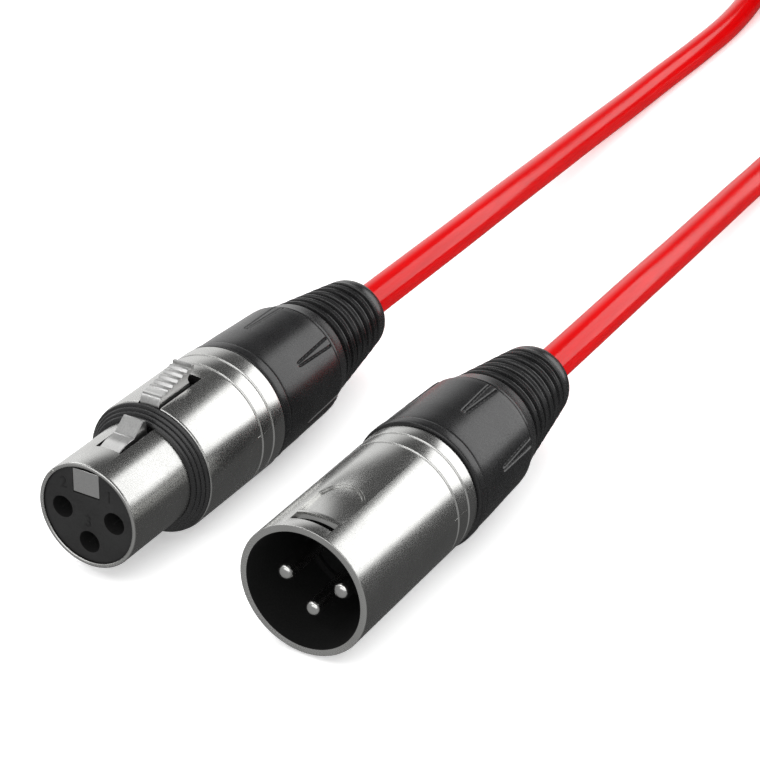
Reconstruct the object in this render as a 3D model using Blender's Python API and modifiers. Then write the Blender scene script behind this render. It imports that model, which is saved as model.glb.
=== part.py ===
"""Balanced microphone cable: a three-pole female and a three-pole male cable connector side by side, joined
by one lead whose length is wound into a tied coil behind them.

Both connectors lie along Y with their mating faces towards -Y and the female latch on top. The origin is on
the floor, midway between the connectors and halfway along the female one. Numbers are in millimetres until
they reach Blender, which gets metres.
"""

import math

import bmesh
import bpy
from mathutils import Vector

MM = 0.001

# Where the connectors lie
FEMALE_X = -16.975
MALE_X = 17.125
FEMALE_LENGTH = 71.1
FRONT_Y = -FEMALE_LENGTH / 2
AXIS_Z = 10.1

# Fits
GAP = 0.3
STEPS = 32
SMALL_STEPS = 16

# Contacts, common to both connectors
CONTACT_RADIUS = 4.25
CONTACT_ANGLES = {1: 0.0, 2: 180.0, 3: 270.0}
PIN_R = 1.18
SOCKET_R = 1.62
SOCKET_BORE_R = 1.25
ENTRY_R = 1.65
TAIL_R = 1.0

# Female connector, distances from its mating face
BARREL_R = 7.95
BARREL_BORE_R = 7.3
BODY_R = AXIS_Z
BODY_BORE_R = 8.7
RING_FRONT = 12.6
BODY_FRONT = 15.0
BODY_STEP = 16.5
FEMALE_SHELL_REAR = 34.1
INSERT_FACE = 0.5
FEMALE_INSERT_REAR = 19.0
KEYWAY_FLOOR = 2.95
WINDOW_FRONT = 5.3
WINDOW_REAR = 12.9
TAB_SLOT_REAR = 25.2

# Latch lever
LATCH_HALF = 1.75
LATCH_PIVOT = (1.8, 5.0)
TRUNNION_R = 0.6

# Male connector, distances from its mouth
MALE_R = 9.55
MOUTH_R = 8.55
MALE_SHELL_REAR = 29.8
MOUTH_DEPTH = 14.0
LEDGE_REAR = 15.2
LEDGE_R = 7.6
MALE_INSERT_REAR = 17.5
PIN_RECESS = 2.6
SLOT_FRONT = 1.9
SLOT_REAR = 3.75
SLOT_HALF = 3.1
THUMB_REAR = 11.9
THUMB_DEPTH = 0.35

# Gland nut and bend relief, distances from the shell's rear edge
NUT_LENGTH = 15.85
BOOT_LENGTH = 37.0
SPIGOT = 6.5
SPIGOT_R = 8.4
NUT_BORE_R = 6.9
CABLE_BORE_R = 3.1
CHUCK_R = 6.5
CHUCK_REAR = 13.5

# Cable and coil
CABLE_R = 2.75
CORE_R = 0.65
COIL_X = 12.0
COIL_Y = 266.5
COIL_MID_R = 35.0
COIL_WIDE = 4
COIL_HIGH = 3
TIE_THICK = 1.2
TIE_WIDTH = 12.0
COIL_Z = TIE_THICK + GAP

# The two free stretches of cable, from each bend relief to the coil
FEMALE_ROUTE = [
    (-16.975, 35.6, 10.1), (-17.0, 50.0, 10.1), (-17.6, 70.0, 9.5), (-19.1, 90.0, 8.1), (-20.8, 110.0, 6.4),
    (-22.4, 130.0, 4.8), (-23.5, 150.0, 3.6), (-24.2, 170.0, 3.0), (-24.5, 190.0, 2.75),
    (-25.2, 208.0, 2.75), (-27.3, 226.0, 3.1), (-29.6, 240.2, 3.7),
]
MALE_ROUTE = [
    (17.125, 31.3, 10.1), (17.1, 46.0, 10.1), (16.4, 66.0, 9.3), (15.2, 86.0, 7.7), (13.8, 106.0, 6.0),
    (12.6, 126.0, 4.5), (12.2, 143.0, 3.5), (14.8, 160.0, 3.0), (21.5, 177.0, 2.8),
    (31.0, 194.0, 3.0), (41.0, 211.0, 4.3), (49.5, 228.0, 6.5), (53.6, 240.2, 8.2),
]
ROUTE_STEP = 13.0


def clear_scene():
    """Remove every object and collection that the file already holds."""
    for thing in list(bpy.data.objects):
        bpy.data.objects.remove(thing, do_unlink=True)
    for group in list(bpy.data.collections):
        bpy.data.collections.remove(group)


def collection(name):
    group = bpy.data.collections.new(name)
    bpy.context.scene.collection.children.link(group)
    return group


def finish(name, colour, roughness, metallic=0.0):
    """A plain surface finish for one kind of part."""
    material = bpy.data.materials.new(name)
    material.use_nodes = True
    shader = material.node_tree.nodes["Principled BSDF"]
    shader.inputs["Base Color"].default_value = (*colour, 1.0)
    shader.inputs["Roughness"].default_value = roughness
    shader.inputs["Metallic"].default_value = metallic
    return material


def in_metres(*values):
    return tuple(value * MM for value in values)


def add_object(name, data, material, group):
    thing = bpy.data.objects.new(name, data)
    group.objects.link(thing)
    if material is not None:
        data.materials.append(material)
    if group is cutters:
        thing.hide_render = True
        thing.display_type = "WIRE"
    return thing


def turned(name, profile, material, x, group=None, steps=STEPS):
    """A solid of revolution about a connector's axis.

    The profile is a list of (distance from the mating face, radius): down the outer side from the rear to
    the front, then back along the bore. It closes on itself, or on the axis if it starts there.
    """
    mesh = bpy.data.meshes.new(name)
    points = [in_metres(radius, 0.0, along) for along, radius in profile]
    edges = [(i, i + 1) for i in range(len(points) - 1)]
    if profile[0][1] > 0.0:
        edges.append((len(points) - 1, 0))
    mesh.from_pydata(points, edges, [])
    thing = add_object(name, mesh, material, group or parts)
    thing.location = in_metres(x, FRONT_Y, AXIS_Z)
    thing.rotation_euler = (-math.pi / 2, 0.0, 0.0)
    spin = thing.modifiers.new("Turn", "SCREW")
    spin.axis = "Z"
    spin.steps = steps
    spin.render_steps = steps
    spin.use_merge_vertices = True
    spin.merge_threshold = 0.00001
    spin.use_smooth_shade = True
    return thing


def block(name, x_range, along_range, z_range, x):
    """A box-shaped cutter, given about a connector's axis and its mating face."""
    low = in_metres(x + x_range[0], FRONT_Y + along_range[0], AXIS_Z + z_range[0])
    high = in_metres(x + x_range[1], FRONT_Y + along_range[1], AXIS_Z + z_range[1])
    mesh = bpy.data.meshes.new(name)
    shape = bmesh.new()
    bmesh.ops.create_cube(shape, size=1.0)
    size = [b - a for a, b in zip(low, high)]
    centre = [(a + b) / 2 for a, b in zip(low, high)]
    bmesh.ops.scale(shape, vec=size, verts=shape.verts)
    bmesh.ops.translate(shape, vec=centre, verts=shape.verts)
    shape.to_mesh(mesh)
    shape.free()
    return add_object(name, mesh, None, cutters)


def boolean(thing, tool, operation="DIFFERENCE"):
    step = thing.modifiers.new(tool.name, "BOOLEAN")
    step.operation = operation
    step.solver = "EXACT"
    step.object = tool


def as_mesh(curve_object):
    """Turn a filled curve into a welded mesh object of the same name and place."""
    evaluated = curve_object.evaluated_get(bpy.context.evaluated_depsgraph_get())
    mesh = bpy.data.meshes.new_from_object(evaluated)
    shape = bmesh.new()
    shape.from_mesh(mesh)
    bmesh.ops.remove_doubles(shape, verts=shape.verts, dist=0.000005)
    shape.to_mesh(mesh)
    shape.free()
    name = curve_object.name
    place = curve_object.matrix_world.copy()
    group = curve_object.users_collection[0]
    bpy.data.objects.remove(curve_object, do_unlink=True)
    solid = bpy.data.objects.new(name, mesh)
    solid.matrix_world = place
    group.objects.link(solid)
    return solid


def side_outline(name, outlines, half_width, material, centre, x):
    """A flat piece cut from outlines of (distance from the mating face, height above the axis).

    It stands in the YZ plane, is extruded along X, and has its own origin at centre.
    """
    curve = bpy.data.curves.new(name, "CURVE")
    curve.dimensions = "2D"
    curve.fill_mode = "BOTH"
    curve.extrude = half_width * MM
    for outline in outlines:
        spline = curve.splines.new("POLY")
        spline.points.add(len(outline) - 1)
        for point, (along, up) in zip(spline.points, outline):
            point.co = (*in_metres(along - centre[0], up - centre[1]), 0.0, 1.0)
        spline.use_cyclic_u = True
    thing = add_object(name, curve, material, parts)
    thing.location = in_metres(x, FRONT_Y + centre[0], AXIS_Z + centre[1])
    thing.rotation_euler = (math.pi / 2, 0.0, math.pi / 2)
    bpy.context.view_layer.update()
    return thing


def tube(name, points, radius, material, resolution=2):
    """A round tube with closed ends through points in millimetres."""
    curve = bpy.data.curves.new(name, "CURVE")
    curve.dimensions = "3D"
    curve.bevel_depth = radius * MM
    curve.bevel_resolution = resolution
    curve.use_fill_caps = True
    spline = curve.splines.new("POLY")
    spline.points.add(len(points) - 1)
    for target, point in zip(spline.points, points):
        target.co = (*in_metres(*point), 1.0)
    return add_object(name, curve, material, parts)


def smooth_route(route, step):
    """Points about one step apart on a Catmull-Rom curve through the route."""
    ends = [2 * Vector(route[0]) - Vector(route[1])] + [Vector(p) for p in route]
    ends.append(2 * Vector(route[-1]) - Vector(route[-2]))
    points = []
    for i in range(1, len(ends) - 2):
        before, start, end, after = ends[i - 1:i + 3]
        pieces = max(1, round((end - start).length / step))
        for k in range(pieces):
            t = k / pieces
            point = start * 2 + (end - before) * t
            point += (before * 2 - start * 5 + end * 4 - after) * t ** 2
            point += (start * 3 - before - end * 3 + after) * t ** 3
            points.append(point / 2)
    points.append(ends[-2])
    return points


def contact_place(number):
    angle = math.radians(CONTACT_ANGLES[number])
    return CONTACT_RADIUS * math.cos(angle), CONTACT_RADIUS * math.sin(angle)


def turned_at(name, profile, material, x, offset, group=None):
    """A small turned piece on an axis beside the connector's own."""
    thing = turned(name, profile, material, x + offset[0], group, SMALL_STEPS)
    thing.location.z += offset[1] * MM
    return thing


def female_shell():
    """Stepped tube: a slim barrel that enters the mating shell, and a body with the thumb tab's slot."""
    rear = FEMALE_SHELL_REAR
    shell = turned("female_shell", [
        (rear, BODY_R - 0.3), (rear - 0.3, BODY_R), (BODY_FRONT + 0.3, BODY_R), (BODY_FRONT, BODY_R - 0.3),
        (BODY_FRONT, BARREL_R), (0.5, BARREL_R), (0.15, BARREL_R - 0.15), (0.0, BARREL_R - 0.35),
        (0.0, BARREL_BORE_R), (BODY_STEP, BARREL_BORE_R), (BODY_STEP, BODY_BORE_R), (rear, BODY_BORE_R),
    ], satin_nickel, FEMALE_X)
    wide = LATCH_HALF + GAP
    window = block("cut_latch_window", (-wide, wide), (WINDOW_FRONT, WINDOW_REAR), (5.0, 9.0), FEMALE_X)
    slot = block("cut_tab_slot", (-wide, wide), (BODY_FRONT + 0.02, TAB_SLOT_REAR), (5.0, 11.0), FEMALE_X)
    boolean(shell, window)
    boolean(shell, slot)


def female_ring():
    """Ribbed rubber ring that fills the corner between barrel and body."""
    front = RING_FRONT
    rear = BODY_FRONT - GAP
    bore = BARREL_R + GAP
    turned("female_ring", [
        (rear, 9.9), (rear - 0.5, 9.9), (rear - 0.7, 9.5), (rear - 1.1, 9.4), (rear - 1.3, 9.0),
        (rear - 1.6, 8.9), (front, 8.5), (front, bore), (rear, bore),
    ], black_rubber, FEMALE_X)


def female_insert():
    """Moulded block with three contact bores, an open keyway for the latch and pockets for its trunnions."""
    radius = BARREL_BORE_R - GAP
    flange = BODY_STEP + GAP
    insert = turned("female_insert", [
        (FEMALE_INSERT_REAR, 0.0), (FEMALE_INSERT_REAR, BODY_BORE_R - GAP), (flange, BODY_BORE_R - GAP),
        (flange, radius), (INSERT_FACE, radius), (INSERT_FACE, 0.0),
    ], black_plastic, FEMALE_X)
    wide = LATCH_HALF + GAP
    deep = FEMALE_INSERT_REAR + 1.0
    boolean(insert, block("cut_keyway", (-wide, wide), (-1.0, deep), (KEYWAY_FLOOR, 10.0), FEMALE_X))
    along, up = LATCH_PIVOT
    pocket = TRUNNION_R + GAP
    boolean(insert, block("cut_pivot_pockets", (-2.95, 2.95), (along - pocket, along + pocket),
                          (up - pocket, 10.0), FEMALE_X))
    for number in CONTACT_ANGLES:
        bore = turned_at(f"cut_contact_bore_{number}", [
            (deep, 0.0), (deep, SOCKET_R + GAP), (2.3, SOCKET_R + GAP), (2.3, ENTRY_R),
            (-1.0, ENTRY_R), (-1.0, 0.0),
        ], None, FEMALE_X, contact_place(number), cutters)
        boolean(insert, bore)


def female_contacts():
    """Three sleeves that the pins slide into, each with a solder tail."""
    for number in CONTACT_ANGLES:
        turned_at(f"female_contact_{number}", [
            (21.5, 0.0), (21.5, TAIL_R), (18.7, TAIL_R), (18.7, SOCKET_R), (2.6, SOCKET_R),
            (2.6, SOCKET_BORE_R), (16.0, SOCKET_BORE_R), (16.0, 0.0),
        ], gold, FEMALE_X, contact_place(number))


def female_latch():
    """Lever in the keyway: a bar at the mating face, a hook in the window and a raised thumb tab."""
    lever = [
        (0.5, 3.3), (2.4, 3.3), (24.0, 6.15), (24.3, 8.5), (23.7, 11.9), (23.3, 12.2),
        (21.4, 11.8), (21.3, 11.4), (19.6, 11.1), (19.5, 10.7), (17.8, 10.5), (17.7, 10.2),
        (15.6, 10.0), (15.4, 9.6), (15.4, 6.6), (12.3, 6.6), (11.8, 9.4), (11.6, 9.5),
        (9.3, 7.85), (7.5, 7.8), (6.2, 7.6), (5.6, 7.2), (5.6, 6.6), (0.5, 6.6),
    ]
    latch = as_mesh(side_outline("female_latch", [lever], LATCH_HALF, satin_steel, LATCH_PIVOT, FEMALE_X))
    trunnions = bpy.data.meshes.new("join_latch_trunnions")
    shape = bmesh.new()
    bmesh.ops.create_cone(shape, cap_ends=True, segments=16, radius1=TRUNNION_R * MM,
                          radius2=TRUNNION_R * MM, depth=5.3 * MM)
    shape.to_mesh(trunnions)
    shape.free()
    tool = add_object("join_latch_trunnions", trunnions, None, cutters)
    tool.location = latch.location
    tool.rotation_euler = (0.0, math.pi / 2, 0.0)
    boolean(latch, tool, "UNION")
    hinge = bpy.data.objects.new("latch_hinge", None)
    hinge.location = latch.location
    parts.objects.link(hinge)
    bpy.context.view_layer.update()
    latch.parent = hinge
    latch.matrix_parent_inverse = hinge.matrix_world.inverted()


def female_latch_spring():
    """Bent leaf between the keyway's floor and the lever, which pushes the thumb tab up."""
    leaf = [
        (7.5, KEYWAY_FLOOR + GAP), (12.0, KEYWAY_FLOOR + GAP + 0.1), (17.5, 4.65), (17.4, 4.95),
        (11.9, KEYWAY_FLOOR + GAP + 0.4), (7.5, KEYWAY_FLOOR + GAP + 0.3),
    ]
    side_outline("female_latch_spring", [leaf], 1.3, spring_steel, leaf[0], FEMALE_X)


def male_shell():
    """Plain tube with a catch slot and a thumb recess on top, and a ledge that stops the insert."""
    rear = MALE_SHELL_REAR
    shell = turned("male_shell", [
        (rear, MALE_R - 0.3), (rear - 0.3, MALE_R), (0.3, MALE_R), (0.0, MALE_R - 0.2),
        (0.0, MOUTH_R + 0.1), (0.2, MOUTH_R), (MOUTH_DEPTH, MOUTH_R), (MOUTH_DEPTH, LEDGE_R),
        (LEDGE_REAR, LEDGE_R), (LEDGE_REAR, BODY_BORE_R), (rear, BODY_BORE_R),
    ], satin_nickel, MALE_X)
    boolean(shell, block("cut_catch_slot", (-SLOT_HALF, SLOT_HALF), (SLOT_FRONT, SLOT_REAR),
                         (5.0, 11.0), MALE_X))
    boolean(shell, block("cut_thumb_recess", (-SLOT_HALF, SLOT_HALF), (SLOT_REAR + 0.4, THUMB_REAR),
                         (MALE_R - THUMB_DEPTH, 11.0), MALE_X))


def male_insert():
    """Moulded disc that carries the three pins, seated behind the shell's ledge."""
    seat = LEDGE_REAR + GAP
    insert = turned("male_insert", [
        (MALE_INSERT_REAR, 0.0), (MALE_INSERT_REAR, BODY_BORE_R - GAP), (seat, BODY_BORE_R - GAP),
        (seat, LEDGE_R - GAP), (MOUTH_DEPTH + 0.2, LEDGE_R - GAP), (MOUTH_DEPTH + 0.2, 0.0),
    ], black_plastic, MALE_X)
    for number in CONTACT_ANGLES:
        bore = turned_at(f"cut_pin_bore_{number}", [
            (20.0, 0.0), (20.0, PIN_R + GAP), (12.0, PIN_R + GAP), (12.0, 0.0),
        ], None, MALE_X, contact_place(number), cutters)
        boolean(insert, bore)


def male_pins():
    """Three round-nosed pins, each with a solder tail."""
    tip = PIN_RECESS
    for number in CONTACT_ANGLES:
        profile = [(19.0, 0.0), (19.0, TAIL_R), (17.8, TAIL_R), (17.8, PIN_R), (tip + 0.8, PIN_R)]
        for k in range(1, 4):
            angle = math.radians(30.0 * k)
            profile.append((tip + 0.8 * (1.0 - math.sin(angle)), max(0.0, PIN_R * math.cos(angle))))
        profile[-1] = (tip, 0.0)
        turned_at(f"male_pin_{number}", profile, satin_nickel, MALE_X, contact_place(number))


def chuck(prefix, x, shell_rear, front, latch_notch):
    """Clamping collet: a sleeve that presses on the insert, and four jaws that the gland nut closes."""
    shoulder = shell_rear - SPIGOT - GAP
    jaws = shell_rear + CHUCK_REAR
    collet = turned(f"{prefix}_chuck", [
        (jaws, 4.9), (shell_rear + 9.0, CHUCK_R), (shoulder, CHUCK_R), (shoulder - 0.01, 8.3),
        (front, 8.3), (front, 6.8), (shoulder - 1.5, 6.8), (shoulder - 1.49, CABLE_BORE_R),
        (jaws, CABLE_BORE_R),
    ], grey_plastic, x)
    for name, half_x, half_z in (("a", 0.4, 9.0), ("b", 9.0, 0.4)):
        slit = block(f"cut_{prefix}_jaws_{name}", (-half_x, half_x), (shell_rear + 1.0, jaws + 1.0),
                     (-half_z, half_z), x)
        boolean(collet, slit)
    if latch_notch:
        wide = LATCH_HALF + GAP + 0.2
        boolean(collet, block(f"cut_{prefix}_notch", (-wide, wide), (front - 1.0, TAB_SLOT_REAR + 0.3),
                              (KEYWAY_FLOOR - 0.4, 10.0), x))


def gland_nut(prefix, x, shell_rear):
    """Hard nut that screws into the shell's rear, closes the chuck and carries the bend relief."""
    rear = shell_rear + NUT_LENGTH
    turned(f"{prefix}_gland_nut", [
        (rear + 3.0, 6.3), (rear, 6.3), (rear, 9.25), (rear - 0.3, 9.4), (shell_rear + 10.0, 9.6),
        (shell_rear + 3.0, 9.8), (shell_rear + 1.0, 9.95), (shell_rear + GAP + 0.3, 9.95),
        (shell_rear + GAP, 9.7), (shell_rear + GAP, SPIGOT_R), (shell_rear - SPIGOT, SPIGOT_R),
        (shell_rear - SPIGOT, NUT_BORE_R), (shell_rear + 10.0, NUT_BORE_R), (rear, 4.6), (rear + 3.0, 4.6),
    ], black_plastic, x)


def bend_relief(prefix, x, shell_rear):
    """Tapered, ribbed rubber sleeve moulded on the nut's rear."""
    front = shell_rear + NUT_LENGTH + GAP
    rear = shell_rear + BOOT_LENGTH
    ribs = 7
    first_rib = shell_rear + 19.5
    pitch = 2.0
    outer = [(rear, 4.9), (rear - 0.6, 5.3), (rear - 2.2, 5.9)]
    for k in reversed(range(ribs)):
        middle = first_rib + pitch * k
        radius = 8.4 - 0.31 * k
        outer += [(middle + 0.9, radius - 0.65), (middle, radius)]
    outer += [(first_rib - 1.0, 8.3), (front + 0.4, 9.3), (front, 9.15)]
    counterbore = 6.3 + GAP
    turned(f"{prefix}_bend_relief", outer + [
        (front, counterbore), (shell_rear + NUT_LENGTH + 3.3, counterbore),
        (shell_rear + NUT_LENGTH + 3.31, CABLE_BORE_R), (rear, CABLE_BORE_R),
    ], black_rubber, x)


def cable_end(prefix, x, jacket_end, shell_rear):
    """The clamped end of the cable, from its cut jacket to the bend relief's mouth."""
    rear = shell_rear + BOOT_LENGTH - GAP
    turned(f"{prefix}_cable_end", [(rear, 0.0), (rear, CABLE_R), (jacket_end, CABLE_R), (jacket_end, 0.0)],
           red_jacket, x, steps=SMALL_STEPS)


def cores(prefix, x, tail_end, jacket_end):
    """Two insulated conductors and the twisted shield, from the jacket's end to the solder tails."""
    start = tail_end + GAP
    end = jacket_end - GAP
    finishes = {1: copper, 2: white_core, 3: blue_core}
    names = {1: "shield", 2: "hot", 3: "cold"}
    for number in CONTACT_ANGLES:
        across, up = contact_place(number)
        inner = 1.35 / CONTACT_RADIUS
        points = []
        for k in range(6):
            t = k / 5
            ease = t * t * (3.0 - 2.0 * t)
            scale = 1.0 + (inner - 1.0) * ease
            points.append((x + across * scale, FRONT_Y + start + (end - start) * t, AXIS_Z + up * scale))
        tube(f"{prefix}_core_{names[number]}", points, CORE_R, finishes[number])


def free_cable():
    """The two plain stretches of cable, each ending against the coil's side."""
    for name, route in (("cable_female_side", FEMALE_ROUTE), ("cable_male_side", MALE_ROUTE)):
        tube(name, smooth_route(route, ROUTE_STEP), CABLE_R, red_jacket, 3)


def cable_coil():
    """Outer shape of the wound coil, a ring whose section holds four turns by three."""
    inner = COIL_MID_R - COIL_WIDE * CABLE_R
    outer = COIL_MID_R + COIL_WIDE * CABLE_R
    top = COIL_Z + COIL_HIGH * 2 * CABLE_R
    soft = 1.6
    ring = turned("cable_coil", [
        (top, inner + soft), (top, outer - soft), (top - soft, outer), (COIL_Z + soft, outer),
        (COIL_Z, outer - soft), (COIL_Z, inner + soft), (COIL_Z + soft, inner), (top - soft, inner),
    ], red_jacket, 0.0)
    ring.location = in_metres(COIL_X, COIL_Y, 0.0)
    ring.rotation_euler = (0.0, 0.0, 0.0)


def coil_tie():
    """Strap round the bundle at the coil's far side."""
    near = COIL_MID_R - COIL_WIDE * CABLE_R - 1.1
    far = COIL_MID_R + COIL_WIDE * CABLE_R + GAP
    top = COIL_Z + COIL_HIGH * 2 * CABLE_R + GAP
    opening = rounded_rectangle(near, far, TIE_THICK, top, 1.2)
    outside = rounded_rectangle(near - TIE_THICK, far + TIE_THICK, 0.0, top + TIE_THICK, 2.0)
    shift = COIL_Y - FRONT_Y
    outlines = [[(along + shift, up - AXIS_Z) for along, up in loop] for loop in (outside, opening)]
    side_outline("coil_tie", outlines, TIE_WIDTH / 2, black_strap, (shift, -AXIS_Z), COIL_X)


def rounded_rectangle(left, right, bottom, top, radius):
    """Corner arcs of a rectangle, four points each, anticlockwise."""
    corners = [(right - radius, top - radius, 0), (left + radius, top - radius, 90),
               (left + radius, bottom + radius, 180), (right - radius, bottom + radius, 270)]
    points = []
    for across, up, first in corners:
        for k in range(4):
            angle = math.radians(first + 30.0 * k)
            points.append((across + radius * math.cos(angle), up + radius * math.sin(angle)))
    return points


clear_scene()
parts = collection("xlr_cable_coil")
cutters = collection("cutters")

satin_nickel = finish("satin_nickel", (0.62, 0.61, 0.59), 0.32, 1.0)
satin_steel = finish("satin_steel", (0.55, 0.55, 0.54), 0.38, 1.0)
spring_steel = finish("spring_steel", (0.45, 0.45, 0.46), 0.3, 1.0)
gold = finish("gold_plating", (0.83, 0.62, 0.25), 0.25, 1.0)
copper = finish("bare_copper", (0.72, 0.38, 0.22), 0.35, 1.0)
black_plastic = finish("black_plastic", (0.02, 0.02, 0.02), 0.45)
grey_plastic = finish("grey_plastic", (0.35, 0.35, 0.36), 0.5)
black_rubber = finish("black_rubber", (0.015, 0.015, 0.015), 0.6)
black_strap = finish("black_strap", (0.02, 0.02, 0.022), 0.9)
red_jacket = finish("red_jacket", (0.75, 0.02, 0.03), 0.35)
white_core = finish("white_insulation", (0.8, 0.8, 0.78), 0.4)
blue_core = finish("blue_insulation", (0.05, 0.15, 0.5), 0.4)

female_shell()
female_ring()
female_insert()
female_contacts()
female_latch()
female_latch_spring()
chuck("female", FEMALE_X, FEMALE_SHELL_REAR, FEMALE_INSERT_REAR + GAP, True)
gland_nut("female", FEMALE_X, FEMALE_SHELL_REAR)
bend_relief("female", FEMALE_X, FEMALE_SHELL_REAR)
cable_end("female", FEMALE_X, 27.2, FEMALE_SHELL_REAR)
cores("female", FEMALE_X, 21.5, 27.2)

male_shell()
male_insert()
male_pins()
chuck("male", MALE_X, MALE_SHELL_REAR, MALE_INSERT_REAR + GAP, False)
gland_nut("male", MALE_X, MALE_SHELL_REAR)
bend_relief("male", MALE_X, MALE_SHELL_REAR)
cable_end("male", MALE_X, 23.2, MALE_SHELL_REAR)
cores("male", MALE_X, 19.0, 23.2)

free_cable()
cable_coil()
coil_tie()
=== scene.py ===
import math

import bpy
import numpy as np
from mathutils import Matrix, Vector


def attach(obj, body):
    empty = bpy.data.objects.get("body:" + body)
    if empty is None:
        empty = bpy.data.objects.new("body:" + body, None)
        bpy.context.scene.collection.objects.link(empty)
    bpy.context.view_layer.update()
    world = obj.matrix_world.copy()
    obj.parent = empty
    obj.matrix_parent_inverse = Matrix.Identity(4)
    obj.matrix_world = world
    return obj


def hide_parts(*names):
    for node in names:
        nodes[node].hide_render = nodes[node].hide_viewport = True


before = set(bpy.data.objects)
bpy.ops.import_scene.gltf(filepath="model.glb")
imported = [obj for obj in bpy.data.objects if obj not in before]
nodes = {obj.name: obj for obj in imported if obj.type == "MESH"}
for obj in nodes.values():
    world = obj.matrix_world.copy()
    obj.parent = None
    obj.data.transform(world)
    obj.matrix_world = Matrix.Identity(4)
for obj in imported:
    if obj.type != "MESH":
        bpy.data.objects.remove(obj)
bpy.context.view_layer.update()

# Lengths are in millimetres until a mesh, a curve or a light takes them in metres.
MM = 0.001

# Where the connectors lie: both point towards -Y from this front, with the floor at zero
FEMALE_X = -16.975
MALE_X = 17.125
FRONT_Y = -35.55
AXIS_Z = 10.1
FEMALE_REAR = 34.1
MALE_REAR = 29.8

# Radii of the shells, and where the female barrel steps up to its body
BARREL_RADIUS = 7.95
BARREL_BORE = 7.3
BODY_RADIUS = 10.1
BODY_START = 15.0
MALE_RADIUS = 9.55
MALE_BORE = 8.55
REAR_BORE = 8.7

# Contacts lie on this radius round each axis, at these angles in degrees from +X towards +Z
CONTACT_RADIUS = 4.25
CONTACT_ANGLES = {1: 0.0, 2: 180.0, 3: 270.0}

# Cable and coil. The cable's length is in metres; the coil's cells are (outwards, upwards) in its section
CABLE_R = 2.75
BOOT_END_Y = {"female": 35.55, "male": 31.25}
FEMALE_ROUTE = [
    (-17.0, 50.0, 10.1), (-17.6, 70.0, 9.5), (-19.1, 90.0, 8.1), (-20.8, 110.0, 6.4), (-22.4, 130.0, 4.8),
    (-23.5, 150.0, 3.6), (-24.2, 170.0, 3.0), (-24.5, 190.0, 2.75), (-25.2, 208.0, 2.75),
    (-27.3, 226.0, 3.1), (-29.6, 240.2, 3.7),
]
MALE_ROUTE = [
    (17.1, 46.0, 10.1), (16.4, 66.0, 9.3), (15.2, 86.0, 7.7), (13.8, 106.0, 6.0), (12.6, 126.0, 4.5),
    (12.2, 143.0, 3.5), (14.8, 160.0, 3.0), (21.5, 177.0, 2.8), (31.0, 194.0, 3.0), (41.0, 211.0, 4.3),
    (49.5, 228.0, 6.5), (53.6, 240.2, 8.2),
]
COIL_CENTRE = (12.0, 266.5)
COIL_MID_R = 35.0
COIL_FLOOR = 1.5
COIL_CELLS = [(3, 0), (2, 0), (1, 0), (0, 0), (0, 1), (0, 2), (1, 2), (1, 1), (2, 1), (2, 2), (3, 2), (3, 1)]


# ---------------------------------------------------------------- mesh tools

def new_piece(name, points, faces):
    """Object from points in metres and faces, turned so that the volume they enclose is positive.

    The volume is a sixth of the sum, over a fan of triangles in every face, of the product of their corners.
    """
    longest = max(len(face) for face in faces)
    padded = np.array([list(face) + [face[-1]] * (longest - len(face)) for face in faces])
    corner = points[padded]
    fan = np.cross(corner[:, 1:-1], corner[:, 2:])
    if (corner[:, :1] * fan).sum() < 0.0:
        faces = [face[::-1] for face in faces]
    mesh = bpy.data.meshes.new(name)
    mesh.from_pydata(points.tolist(), [], faces)
    mesh.update()
    piece = bpy.data.objects.new(name, mesh)
    bpy.context.scene.collection.objects.link(piece)
    return piece


def skin(name, grid, x, loop=True):
    """Piece from a grid of (across, along, up) about the connector's axis at x.

    Columns always wrap round. Rows wrap too when loop is set; otherwise one face closes each end row.
    """
    rows, columns = grid.shape[:2]
    number = np.arange(rows * columns).reshape(rows, columns)
    side = np.roll(number, -1, axis=1)
    quads = np.stack([number, side, np.roll(side, -1, axis=0), np.roll(number, -1, axis=0)], axis=-1)
    faces = (quads if loop else quads[:-1]).reshape(-1, 4).tolist()
    if not loop:
        faces += [number[0][::-1].tolist(), number[-1].tolist()]
    return new_piece(name, (grid.reshape(-1, 3) + (x, FRONT_Y, AXIS_Z)) * MM, faces)


def rounded(corners, steps=5):
    """Outline whose every corner (first, second, reach) becomes a curve.

    The curve is a parabola that leaves one side and meets the next at that reach from the corner, or at most
    at 45% of the side.
    """
    corners = np.array(corners, float)
    point = corners[:, :2]
    reach = corners[:, 2:]
    back = np.roll(point, 1, axis=0) - point
    ahead = np.roll(point, -1, axis=0) - point
    back_length = np.linalg.norm(back, axis=1, keepdims=True)
    ahead_length = np.linalg.norm(ahead, axis=1, keepdims=True)
    start = point + back / back_length * np.minimum(reach, 0.45 * back_length)
    end = point + ahead / ahead_length * np.minimum(reach, 0.45 * ahead_length)
    t = np.linspace(0.0, 1.0, steps)[None, :, None]
    curve = (1 - t) ** 2 * start[:, None] + 2 * t * (1 - t) * point[:, None] + t ** 2 * end[:, None]
    return curve.reshape(-1, 2)


def spun(profile, columns=160, centre=(0.0, 0.0)):
    """Grid of a profile (along, radius) turned round an axis: across and up are radius by cosine and sine."""
    angle = np.linspace(0.0, 2 * math.pi, columns, endpoint=False)
    along, radius = np.asarray(profile, float).T
    across = centre[0] + radius[:, None] * np.cos(angle)
    up = centre[1] + radius[:, None] * np.sin(angle)
    return np.stack([across, np.broadcast_to(along[:, None], across.shape), up], axis=-1)


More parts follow.
